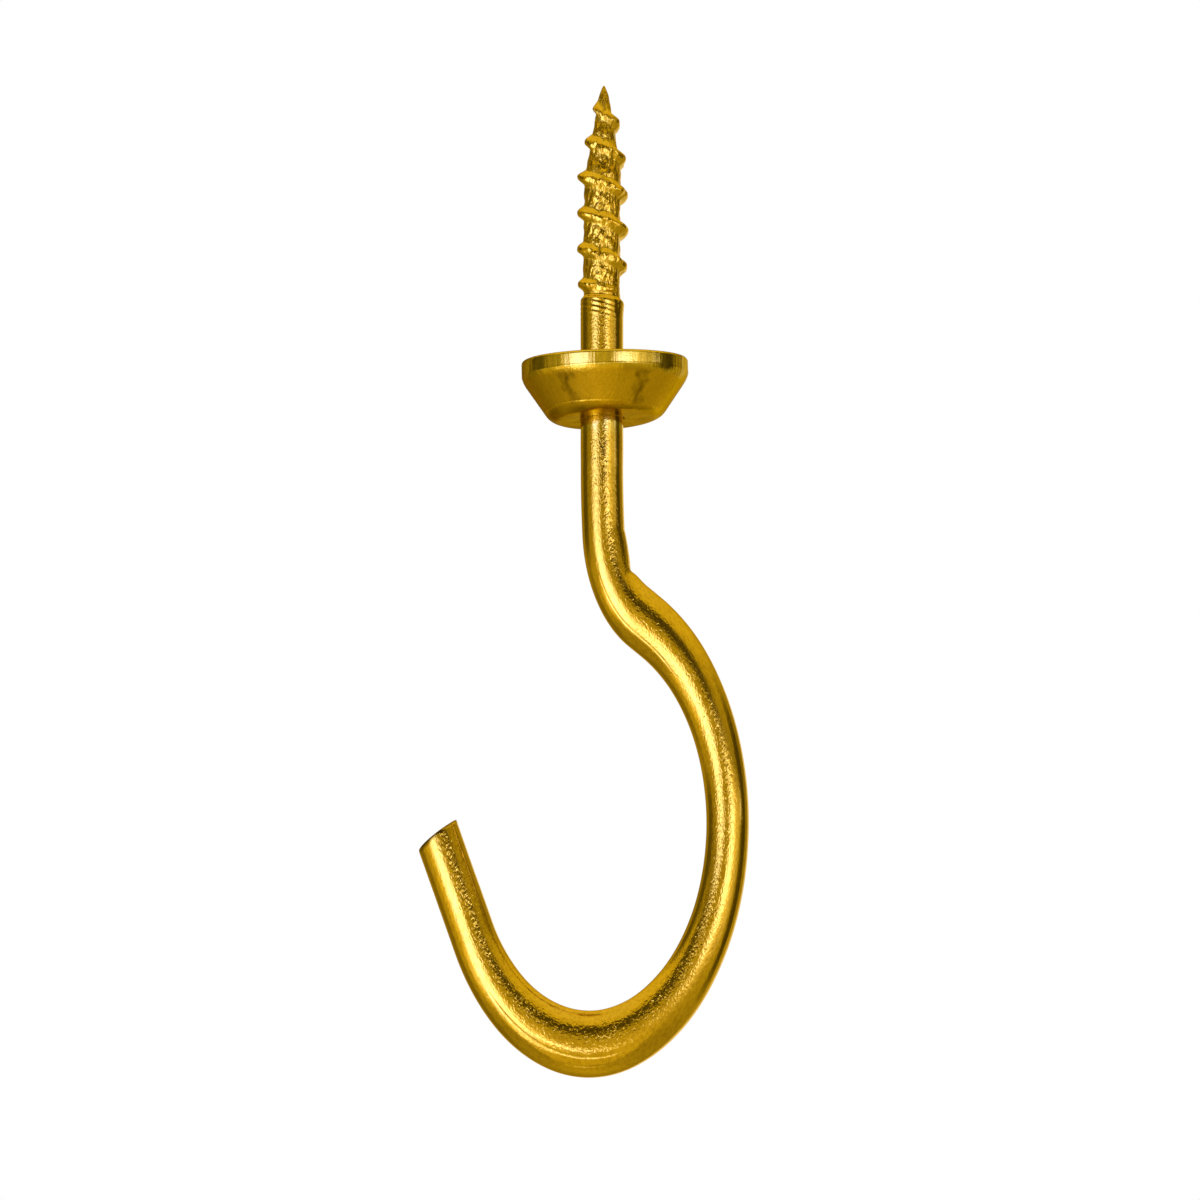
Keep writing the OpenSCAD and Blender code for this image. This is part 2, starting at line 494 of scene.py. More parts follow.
@dataclass(frozen=True)
class SheetPlate:
    """The same plating on pressed sheet: satin on the flank, bright at the rim and at the small end.

    Depths below the seat and distances from the shank's middle are read as shares of the reach, in mm.
    """

    gold: Colour = (1.0, 0.72, 0.13)
    olive: Colour = (0.80, 0.58, 0.08)
    dirt_and_shade_colour: Colour = (0.30, 0.21, 0.03)
    # painted reflection: the small end paler round the hole, where the bright wire shows in it
    painted_small_end_reflection: Colour = (1.0, 0.96, 0.76)
    # painted highlight: the rim band's paler, creamier colour, for its bright highlight
    painted_rim_highlight: Colour = (1.0, 0.84, 0.40)
    edge: Colour = (0.66, 0.50, 0.13)
    bright: float = 0.14
    satin: float = 0.28
    reach: float = 5.0
    flank: Stops = ((0.23, 0.0), (0.28, 1.0), (0.58, 1.0), (0.64, 0.4))
    band: Stops = ((0.23, 0.9), (0.30, 0.0))
    beneath: Stops = ((0.62, 0.0), (0.68, 1.0))
    by_hole: Stops = ((0.34, 1.0), (0.48, 0.0))
    # the ring that pressing left above the heel
    ring: Stops = ((0.598, 0.0), (0.616, 1.0), (0.634, 0.0))
    ring_height: float = 0.05
    # patterns, and how much grain the flank has over the rest
    streaks: Pattern = Pattern(1500.0, along=0.15, detail=3.0)
    streak_height: float = 0.020
    scoring: Pattern = Pattern(5200.0, along=0.08, detail=1.0)
    score_height: float = 0.014
    grain: Pattern = Pattern(9000.0)
    grain_height: float = 0.005
    flank_grain: float = 0.012
    mottle: Pattern = Pattern(700.0, along=0.35)
    speckle: Pattern = Pattern(7500.0, detail=1.0)
    breaks: Pattern = Pattern(2200.0, along=0.6, detail=3.0)
    break_share: float = 0.8
    toning: Stops = ((0.46, 0.0), (0.72, 1.0))
    tone_speckle: float = 0.9
    tone_scoring: float = 0.5
    # dirt and painted shade: two smudges down the flank, painted shade on both sides, the rubbed band, and
    # the small end made darker in mottled patches
    smudge_angles: tuple[float, float] = (-0.50, 0.56)
    smudge_narrowness: float = 1.9
    smudge_fade: Stops = ((0.30, 1.0), (0.64, 0.0))
    smudge_share: float = 0.95
    # painted shade: the cup darker on its two sides, towards +X and -X, from just below the rim down
    sides: Stops = ((0.315, 0.0), (0.47, 0.5), (0.53, 0.5), (0.70, 0.0))
    side_shade_depth: Stops = ((0.08, 0.5), (0.2, 1.0))
    rub_sides: Stops = ((0.127, 0.15), (0.302, 0.8))
    rub_fade: Stops = ((0.40, 1.0), (0.54, 0.0))
    rub_speckle: float = 0.4
    rub_scoring: float = 0.6
    # the heel and the small end made darker in mottled patches
    beneath_darkening: float = 1.6
    # painted reflection: how much the small end is paled round the hole
    beneath_paler: float = 0.4
    ragged: float = 0.1

    def read(self, n: Nodes) -> OnCup:
        """Lay out what the finish reads.

        Args:
            n: The material's nodes.

        Returns:
            The sockets, on Object coordinates.
        """
        place = n.add("TexCoord").outputs["Object"]
        apart = n.add("SeparateXYZ", {0: place})
        share = 1.0 / (self.reach * MILLIMETRE)
        depth = n.math("MULTIPLY", apart.outputs[2], -share, clamp=True)
        level = n.stretch(place, (1.0, 1.0, 0.0))
        off_axis = n.add("VectorMath", {0: level}, operation="LENGTH").outputs["Value"]
        broken = n.math("MULTIPLY", self.breaks.on(n, place), self.break_share)
        return OnCup(
            depth=depth, angle=n.angle(apart), flank=n.ramp(depth, *self.flank),
            band=n.ramp(n.math("MULTIPLY_ADD", broken, self.ragged, depth), *self.band),
            beneath=n.ramp(depth, *self.beneath),
            by_hole=n.ramp(n.math("MULTIPLY", off_axis, share, clamp=True), *self.by_hole),
            streaks=self.streaks.on(n, place), scored=self.scoring.on(n, place),
            grain=self.grain.on(n, place), mottle=self.mottle.on(n, place),
            speckle=self.speckle.on(n, place), broken=broken)

    def height(self, n: Nodes, on: OnCup) -> Socket:
        """Return the height of the surface.

        Args:
            n: The material's nodes.
            on: What the finish reads.

        Returns:
            The height in millimetres.
        """
        lines = n.math("MULTIPLY_ADD", on.scored, self.score_height,
                       n.math("MULTIPLY", on.streaks, self.streak_height))
        grain_height = n.math("MULTIPLY_ADD", on.flank, self.flank_grain, self.grain_height)
        height = n.math("MULTIPLY_ADD", grain_height, on.grain, lines)
        ring_height = n.math("MULTIPLY", on.streaks, self.ring_height)
        return n.math("MULTIPLY_ADD", n.ramp(on.depth, *self.ring), ring_height, height)

    def dirt_and_shade(self, n: Nodes, on: OnCup) -> Socket:
        """Return how dirty the plating is, with the shade painted on its two sides.

        Args:
            n: The material's nodes.
            on: What the finish reads.

        Returns:
            The share of dirt and painted shade, from 0 to 1.
        """
        dirt_and_shade: Any = 0.0
        for aim in self.smudge_angles:
            off = n.math("ABSOLUTE", n.math("SUBTRACT", on.angle, aim))
            near = n.ramp(n.math("MULTIPLY_ADD", off, self.smudge_narrowness, on.broken), *self.smudge_fade)
            dirt_and_shade = n.math("MAXIMUM", dirt_and_shade, near)
        dirt_and_shade = n.math("MULTIPLY", n.math("MULTIPLY", dirt_and_shade, on.flank), self.smudge_share)
        turned = n.math("MULTIPLY", n.math("ABSOLUTE", on.angle), 1.0 / math.pi)
        # painted shade: darker on the cup's two sides
        sides = n.math("MULTIPLY", n.ramp(turned, *self.sides), n.ramp(on.depth, *self.side_shade_depth))
        rubs = n.math("MULTIPLY_ADD", on.speckle, self.rub_speckle,
                      n.math("MULTIPLY", on.scored, self.rub_scoring))
        held = n.math("MULTIPLY", on.band, n.ramp(turned, *self.rub_sides))
        rubbed = n.math("MULTIPLY", held, n.ramp(rubs, *self.rub_fade))
        # the heel and the small end made darker in mottled patches
        mottled = n.math("MULTIPLY", on.mottle, self.beneath_darkening, clamp=True)
        for more in (sides, rubbed, n.math("MULTIPLY", on.beneath, mottled)):
            dirt_and_shade = n.math("MAXIMUM", dirt_and_shade, more)
        return dirt_and_shade

    def colour(self, n: Nodes, on: OnCup) -> Socket:
        """Return the colour of the plating.

        Args:
            n: The material's nodes.
            on: What the finish reads.

        Returns:
            The colour.
        """
        lines = n.math("ADD", on.mottle, n.math("MULTIPLY", on.scored, self.tone_scoring))
        tone = n.math("MULTIPLY", n.math("MULTIPLY_ADD", on.speckle, self.tone_speckle, lines), 0.5)
        plain = n.blend(n.ramp(tone, *self.toning), self.olive, self.gold)
        # painted reflection: the small end paler round the hole
        paler = n.math("MULTIPLY", on.by_hole, n.math("MULTIPLY", on.beneath, self.beneath_paler))
        # painted highlight: the band takes the paler rim colour
        clean = n.blend(paler, n.blend(on.band, plain, self.painted_rim_highlight), self.painted_small_end_reflection)
        return n.blend(self.dirt_and_shade(n, on), clean, self.dirt_and_shade_colour)

    def material(self) -> bpy.types.Material:
        """Return the finish, which reads Object coordinates.

        Returns:
            The material.
        """
        made, n = blank_material("sheet_plate")
        on = self.read(n)
        matt = n.math("SUBTRACT", on.flank, on.by_hole, clamp=True)
        shader = n.add("BsdfPrincipled", {
            "Base Color": self.colour(n, on), "Metallic": 1.0,
            "Roughness": n.math("MULTIPLY_ADD", matt, self.satin - self.bright, self.bright),
            "Normal": n.relief(self.height(n, on)), "Specular Tint": (*self.edge, 1.0)})
        n.add("OutputMaterial", {0: shader.outputs[0]})
        return made


# ---------------------------------------------------------------- the wire


SHANK_RADIUS = 1.31  # of the shank and of the cup's hole, in mm
CREASE_AT = 2.3  # how far along the jog its crease lies, in mm


@dataclass(frozen=True)
class Bend:
    """A stretch of the wire: its length before drawing out, in mm, and its turn towards +X, in degrees."""

    part: Part
    length: float
    turn: float

    @staticmethod
    def arc(part: Part, radius: float, turn: float) -> "Bend":
        """Return the bend of a radius that turns by an angle; a negative angle turns back."""
        return Bend(part, math.radians(abs(turn)) * radius, turn)


def off_front(way: Vector) -> float:
    """Return by how many degrees a direction round the wire lies towards +X from the front or the back."""
    return math.degrees(math.atan2(way.x, abs(way.y)))


@dataclass(frozen=True)
class WireWear:
    """Where drawing, bending and use have left the wire dark or grainy.

    Marks named run are centred on a length from the seat, in mm, and those named side on an angle off the
    front, in degrees. The crease is centred on a length along the jog, and the cut and its patch on a length
    before the open end.
    """

    # tarnish: a streak below the cup, the crease of the jog, and the sheared end
    streak_side: Mark = Mark(2.0, 9.0)
    streak_run: Mark = Mark(5.7, 1.5)
    patches: Waver = Waver(3.0, 0.2, 5.5, along=0.35)
    patch_level: float = 0.65
    crease: Mark = Mark(CREASE_AT, 0.16, 0.6)
    crease_inside: Span = (0.35, 0.75)
    cut: Mark = Mark(0.0, 0.07, 0.75)
    cut_patch: Mark = Mark(0.25, 0.3, 0.6)
    cut_side: Mark = Mark(-8.0, 22.0)
    # grain: strongest on the front and the back, turned towards +X in the jog, and pitted below the cup
    grain_side: float = -12.0
    grain_spread: float = 30.0
    grain_turn_run: Mark = Mark(11.0, 2.6, 40.0)
    grain_least: float = 0.15
    grain_most: float = 0.75
    grain_more: float = 0.4
    grain_more_run: Span = (20.0, 30.0)
    grain_waver: Waver = Waver(0.4, 0.5, 9.1, along=0.3)
    smooth_run: Mark = Mark(4.0, 0.7, 0.7)
    pits_side: Mark = Mark(3.0, 9.0)
    pits_run: Mark = Mark(5.6, 1.5, 1.6)
    thread_grain: float = 0.6

    def tarnish_at(self, way: Vector, travelled: float, stretch: Bend | None = None,
                   along: float = 0.0) -> float:
        """Return how dark the wire is.

        Args:
            way: Direction round the wire.
            travelled: Length from the seat.
            stretch: The bend, if any.
            along: Length from the bend's start.

        Returns:
            The darkness, from 0 to 1.
        """
        angle = off_front(way)
        patchy = min(1.0, max(0.0, self.patch_level + self.patches.at(Vector((way.x, way.y, travelled)))))
        dark = patchy * self.streak_side.at(angle) * self.streak_run.at(travelled) * (way.y < 0)
        if stretch and stretch.part is Part.JOG:
            dark += self.crease.at(along) * smooth_step(*self.crease_inside, way.x)
        if stretch and stretch.part is Part.ARM:
            end = stretch.length - along
            dark += self.cut.at(end) + patchy * self.cut_patch.at(end) * self.cut_side.at(angle)
        return min(1.0, dark)

    def grain_at(self, way: Vector, travelled: float) -> float:
        """Return how grainy the wire is.

        Args:
            way: Direction round the wire.
            travelled: Length from the seat.

        Returns:
            The strength of the grain, from 0 to about 2.
        """
        angle = off_front(way)
        side = Mark(self.grain_side + self.grain_turn_run.at(travelled), self.grain_spread)
        most = self.grain_most + self.grain_more * smooth_step(*self.grain_more_run, travelled)
        grain = (self.grain_least + most * side.at(angle)) * (1.0 - self.smooth_run.at(travelled))
        uneven = 1.0 + self.grain_waver.at(Vector((way.x, way.y, travelled)))
        return grain * uneven + self.pits_side.at(angle) * self.pits_run.at(travelled) * (way.y < 0)


@dataclass
class HookWire:
    """One drawn wire: the screw and its point, the shank, the jog, the bow and the sheared arm. In mm."""

    finish: WirePlate = field(default_factory=WirePlate)
    wear: WireWear = field(default_factory=WireWear)
    radius: float = 1.3
    sides: int = 96
    step: float = 0.15
    # the bends, whose radii and lengths are those before the wire is drawn out along Z
    draw_out: float = 1.6
    stretches: tuple[Bend, ...] = (
        Bend.arc(Part.LEAN, 36.0, 4.2),
        Bend.arc(Part.JOG, 4.0, 58.3),
        Bend(Part.RUN, 0.9, 0.0),
        Bend.arc(Part.BOW, 8.63, -135.2),
        Bend.arc(Part.TOE, 8.07, -78.3),
        Bend(Part.ARM, 4.5, 0.0),
    )
    bent_skin: Waver = Waver(0.010, 0.8, 1.3, along=0.4)
    crease_at: float = CREASE_AT
    crease_depth: float = 0.21
    crease_width: float = 0.42
    crease_sharpness: float = 1.3
    crease_narrowness: float = 3.5
    swell: Mark = Mark(0.8, 0.85, 0.085)
    cut_skew: float = 3.0
    # the cut face from its edge inwards: how far each ring stands ahead of the arm's end, and its size
    cut_rings: tuple[tuple[float, float], ...] = (
        (0.03, 0.985), (0.05, 0.95), (0.04, 0.9), (0.0, 0.7), (-0.03, 0.4), (-0.04, 0.0))
    # the shank, with its shoulder and the marks of the thread's tool
    shank_radius: float = SHANK_RADIUS
    shank_top: float = 4.34
    shank_drop: float = 6.4
    shank_skin: Waver = Waver(0.008, 0.9, 1.3, along=0.25)
    thinning: Span = (-5.0, -6.4)
    fine_step: float = 0.06
    fine_above: float = 2.4
    shoulder_z: float = 4.08
    shoulder_tilt: float = 0.1
    shoulder_slope: Span = (0.14, -0.2)
    tool_rings: Mark = Mark(3.5, 0.6, 0.010)
    tool_rings_a_pitch: float = 7.0
    tool_waver: Waver = Waver(1.0, 0.5, 2.2)
    smear: Mark = Mark(3.7, 0.45, 0.05)
    seam: Mark = Mark(0.73, 0.07, 0.035)
    seam_foot: Span = (2.7, 3.2)
    # painted light: where the wire's colour is painted paler, just below the cup
    painted_neck_light: Mark = Mark(-3.8, 0.6)
    # the screw
    hand: Hand = Hand.LEFT
    core_radius: float = 1.11
    thread_height: float = 0.43
    thread_width: float = 1.05
    ridge_bluntness: float = 1.4
    pitch: float = 2.25
    crest_z: float = 6.1
    screw_top: float = 17.48
    screw_lean: float = 0.12
    screw_lean_rise: Span = (9.5, 15.0)
    taper: float = 5.7
    nose: float = 0.83
    nose_radius: float = 0.32
    nose_bluntness: float = 0.6
    thread_start: Span = (4.2, 5.0)
    thread_end: Span = (17.0, 15.3)
    foot_cut: float = 4.4
    tip_cut: float = 0.01
    turns: int = 8
    turns_above: int = 6
    thread_steps: int = 96
    ridge_points: int = 14
    land_points: int = 14
    # rolling and wear on the thread
    front_wear: float = 0.78
    tip_wear: float = 0.05
    tip_wear_rise: Span = (14.6, 15.6)
    chips: Waver = Waver(0.28, 0.5, 8.3, along=0.55)
    front_chips: Waver = Waver(0.18, 0.2, 6.4, along=0.55)
    front_evening: float = 0.5
    dents: tuple[Waver, ...] = (
        Waver(0.05, 0.26, 3.1, along=0.55),
        Waver(0.05, 0.6, 7.9, along=0.55),
        Waver(0.03, 1.7, 5.7, along=0.55),
    )
    dented_radius: float = 0.5
    # painted light: the hollows between the thread's ridges, whose colour is painted paler
    tuck_near: Span = (0.05, 0.2)
    tuck_far: Span = (0.95, 0.5)
    tuck_foot: Span = (4.4, 5.0)

    def build(self) -> bpy.types.Object:
        """Make the wire as one closed piece.

        Returns:
            The finished piece.
        """
        bm = bmesh.new()
        self.straight = bm.verts.layers.float_vector.new(Straight.PLACE.value)
        self.grain = bm.verts.layers.float.new(Straight.GRAIN.value)
        self.tuck = bm.verts.layers.float.new(Straight.TUCK.value)
        self.tarnish = bm.verts.layers.float.new(Straight.TARNISH.value)
        self.round = bm.verts.layers.float_vector.new("round")
        self.thread(bm)
        self.bends(bm, self.shank(bm))
        bmesh.ops.remove_doubles(bm, verts=bm.verts, dist=WELD)
        bm.verts.layers.float_vector.remove(self.round)
        piece = finish_mesh(bm, "hook_wire_plated", self.finish.material())
        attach(piece, "root")
        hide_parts("hook_wire")
        return piece

    # -------- the screw

    def core_at(self, z: float) -> float:
        """Return the radius of the thread's core.

        Args:
            z: Height above the seat.

        Returns:
            The radius, which is 0 at the tip.
        """
        taper_z, nose_z = self.screw_top - self.taper, self.screw_top - self.nose
        if z <= taper_z:
            return self.core_radius
        if z <= nose_z:
            share = (z - taper_z) / (nose_z - taper_z)
            return self.core_radius + (self.nose_radius - self.core_radius) * share
        return self.nose_radius * max(0.0, (self.screw_top - z) / self.nose) ** self.nose_bluntness

    def lag(self, z: float, way: Vector) -> float:
        """Return by how many pitches a place lies above the crest that the winding starts from."""
        return (z - self.crest_z) / self.pitch - self.hand.value * math.atan2(way.y, way.x) / math.tau

    def thread_outline(self) -> list[tuple[float, float]]:
        """Return one pitch of the thread's section.

        Returns:
            How far each point lies above the crest, and how far it stands out of the core.
        """
        half = self.thread_width / 2
        outline = []
        for i in range(self.ridge_points + 1):
            share = 2 * i / self.ridge_points - 1
            slope = (1 + math.cos(math.pi * abs(share) ** self.ridge_bluntness)) / 2
            outline.append((half * share, self.thread_height * slope))
        land = self.pitch - self.thread_width
        return outline + [(half + land * i / self.land_points, 0.0) for i in range(1, self.land_points + 1)]

    def thread(self, bm: BMesh) -> None:
        """Wind one pitch of the thread's outline down the screw, then shape its taper and trim both ends.

        Args:
            bm: The mesh, which is empty.
        """
        start = self.crest_z + self.pitch * self.turns_above
        outline = self.thread_outline()
        line = [bm.verts.new((self.core_radius + rise, 0.0, start + off)) for off, rise in outline]
        edges = [bm.edges.new(pair) for pair in zip(line, line[1:])]
        climb = Vector((0.0, 0.0, self.hand.value * self.pitch / self.thread_steps))
        bmesh.ops.spin(bm, geom=line + edges, cent=(0, 0, 0), axis=(0, 0, 1), dvec=climb,
                       angle=math.tau * self.turns, steps=self.turns * self.thread_steps, use_duplicate=False)
        bmesh.ops.remove_doubles(bm, verts=bm.verts, dist=WELD)
        for vert in bm.verts:
            self.shape_thread(vert)
        tip = self.screw_top - self.tip_cut
        for height, keep_below in ((self.foot_cut, False), (tip, True)):
            bmesh.ops.bisect_plane(bm, geom=bm.verts[:] + bm.edges[:] + bm.faces[:], dist=ON_PLANE,
                                   plane_co=(0, 0, height), plane_no=(0, 0, 1),
                                   clear_outer=keep_below, clear_inner=not keep_below)
        bmesh.ops.holes_fill(bm, edges=boundary_at(bm, lambda middle: middle.z > tip - NEAR), sides=0)

    def shape_thread(self, vert: BMVert) -> None:
        """Bring a vertex of the thread to the taper, with the dents of rolling and a worn front.

        Args:
            vert: The vertex, on a thread that is wound evenly on a straight core.
        """
        z = vert.co.z
        flat = Vector((vert.co.x, vert.co.y, 0.0))
        out = flat.normalized()
        core = self.core_at(z)
        place = Vector((out.x * core, out.y * core, z))
        front = max(0.0, -out.y) ** 2
        stand = smooth_step(*self.thread_start, z) * smooth_step(*self.thread_end, z)
        worn = (self.front_wear + self.tip_wear * smooth_step(*self.tip_wear_rise, z)) * front
        chips = self.chips.at(place) * (1.0 - self.front_evening * front) + self.front_chips.at(place) * front
        ridge = (flat.length - self.core_radius) * stand * max(0.0, 1.0 - worn + chips)
        dents = sum(dent.at(place) for dent in self.dents) * min(1.0, core / self.dented_radius)
        lean = self.screw_lean * smooth_step(*self.screw_lean_rise, z)
        vert.co = out * max(core + ridge + dents, 0.0) + Vector((lean, 0.0, z))
        vert[self.straight] = (out.x * self.core_radius, out.y * self.core_radius, z)
        vert[self.grain] = self.wear.thread_grain
        # painted light: paler colour in the hollows between the ridges
        lag = self.lag(z, out)
        off = self.pitch * abs(lag - round(lag))
        beside = smooth_step(*self.tuck_near, off) * smooth_step(*self.tuck_far, off)
        vert[self.tuck] = beside * smooth_step(*self.tuck_foot, z)

    # -------- the shank, the bends and the cut end

    def shank(self, bm: BMesh) -> Ring:
        """Carry the wire from the thread's foot down to the first bend.

        Args:
            bm: The mesh, which holds the thread.

        Returns:
            The shank's last ring.
        """
        foot = boundary_at(bm, lambda middle: middle.z < self.foot_cut + NEAR)
        made = bmesh.ops.create_circle(bm, segments=self.sides, radius=1.0)["verts"]
        ring: Ring = (made, list(dict.fromkeys(e for v in made for e in v.link_edges)))
        for vert in made:
            vert[self.round] = vert.co.copy()
        self.lay_shank(ring, self.shank_top)
        bmesh.ops.bridge_loops(bm, edges=foot + ring[1])
        z = self.shank_top - self.fine_step
        while z > -self.shank_drop:
            ring = extrude_ring(bm, ring)
            self.lay_shank(ring, z)
            z -= self.fine_step if z > self.fine_above else self.step
        return ring

    def lay_shank(self, ring: Ring, z: float) -> None:
        """Lay a ring of the straight shank, with its shoulder and the fine rings that the thread's tool left.

        Args:
            ring: The ring.
            z: Its height above the seat.
        """
        for vert in ring[0]:
            way = vert[self.round]
            above, below = (self.shoulder_z - self.shoulder_tilt * way.x + off for off in self.shoulder_slope)
            full = self.shank_radius - (self.shank_radius - self.radius) * smooth_step(*self.thinning, z)
            wide = self.core_radius + (full - self.core_radius) * smooth_step(above, below, z)
            turned = math.sin(math.tau * self.tool_rings_a_pitch * self.lag(z, way))
            wide += self.tool_rings.at(z) * turned * (1.0 + self.tool_waver.at(way))
            wide += self.smear.at(z) * max(0.0, way.x) ** 3
            wide -= self.seam.at(way.x) * (way.y < 0) * smooth_step(*self.seam_foot, z)
            wide += self.shank_skin.at(Vector((way.x, way.y, z)))
            vert.co = Vector((way.x * wide, way.y * wide, z))
            vert[self.straight] = (way.x * self.radius, way.y * self.radius, z)
            vert[self.grain] = self.wear.grain_at(way, -z)
            # painted light: the wire painted paler just below the cup
            vert[self.tuck] = self.painted_neck_light.at(z)
            vert[self.tarnish] = self.wear.tarnish_at(way, -z)

    def pinch(self, stretch: Bend, along: float, way: Vector) -> float:
        """Return how far a bend's metal stands proud of a round wire.

        Args:
            stretch: The bend.
            along: Length from its start.
            way: Direction round the wire, with x towards +X.

        Returns:
            The rise of the surface, which is negative in the crease.
        """
        if stretch.part is not Part.JOG:
            return 0.0
        off = abs(along - self.crease_at) / self.crease_width
        crease = self.crease_depth * math.exp(-(off**self.crease_sharpness))
        inside = max(0.0, way.x)
        return self.swell.at(along) * inside**2 - crease * inside**self.crease_narrowness

    def bends(self, bm: BMesh, ring: Ring) -> None:
        """Sweep the wire through its bends, draw them out along Z, and shear its end.

        Args:
            bm: The mesh.
            ring: The shank's last ring.
        """
        x, z, heading = 0.0, 0.0, 0.0
        travelled = self.shank_drop
        for stretch in self.stretches:
            count = max(2, math.ceil(stretch.length / self.step))
            for i in range(1, count + 1):
                turn, run = stretch.turn * (i / count), stretch.length * (i / count)
                middle, half = math.radians(heading + turn / 2), math.radians(turn / 2)
                chord = run * (math.sin(half) / half if half else 1.0)
                spot = (x + chord * math.sin(middle), z - chord * math.cos(middle), heading + turn)
                ring = extrude_ring(bm, ring)
                self.lay_bend(ring, spot, stretch, run, travelled + run)
            x, z, heading = spot
            travelled += stretch.length
        self.shear(bm, ring, (x, z, heading), travelled)

    def lay_bend(self, ring: Ring, spot: Spot, stretch: Bend, run: float, travelled: float,
                 shrink: float = 1.0) -> None:
        """Lay one ring of the bent wire.

        Args:
            ring: The ring.
            spot: Where it goes, before drawing out.
            stretch: The stretch of wire that it belongs to.
            run: Length from the stretch's start.
            travelled: Length from the seat, for patterns.
            shrink: Share of the wire's radius.
        """
        x, z, heading = spot
        turned = math.radians(heading)
        for vert in ring[0]:
            way = vert[self.round]
            wide = (self.radius + self.pinch(stretch, run, way)) * shrink
            wide += self.bent_skin.at(Vector((way.x, way.y, travelled)))
            across = way.x * wide
            vert.co = Vector((x + across * math.cos(turned), way.y * wide,
                              self.draw_out * (z + across * math.sin(turned)) - self.shank_drop))
            vert[self.straight] = (way.x * self.radius, way.y * self.radius, -travelled)
            vert[self.grain] = self.wear.grain_at(way, travelled)
            vert[self.tarnish] = self.wear.tarnish_at(way, travelled, stretch, run)

    def shear(self, bm: BMesh, ring: Ring, spot: Spot, travelled: float) -> None:
        """Close the open end with the worn edge and the slightly hollow face of a sheared cut.

        Args:
            bm: The mesh.
            ring: The arm's last ring.
            spot: Where the arm ends, before drawing out.
            travelled: Length from the seat.
        """
        x, z, heading = spot
        arm = self.stretches[-1]
        turned = math.radians(heading)
        for ahead, shrink in self.cut_rings:
            ring = extrude_ring(bm, ring)
            face = (x + ahead * math.sin(turned), z - ahead * math.cos(turned), heading - self.cut_skew)
            self.lay_bend(ring, face, arm, arm.length, travelled + ahead, shrink)
        middle = sum((v.co for v in ring[0]), Vector()) / len(ring[0])
        bmesh.ops.pointmerge(bm, verts=ring[0], merge_co=middle)


# ---------------------------------------------------------------- the cup


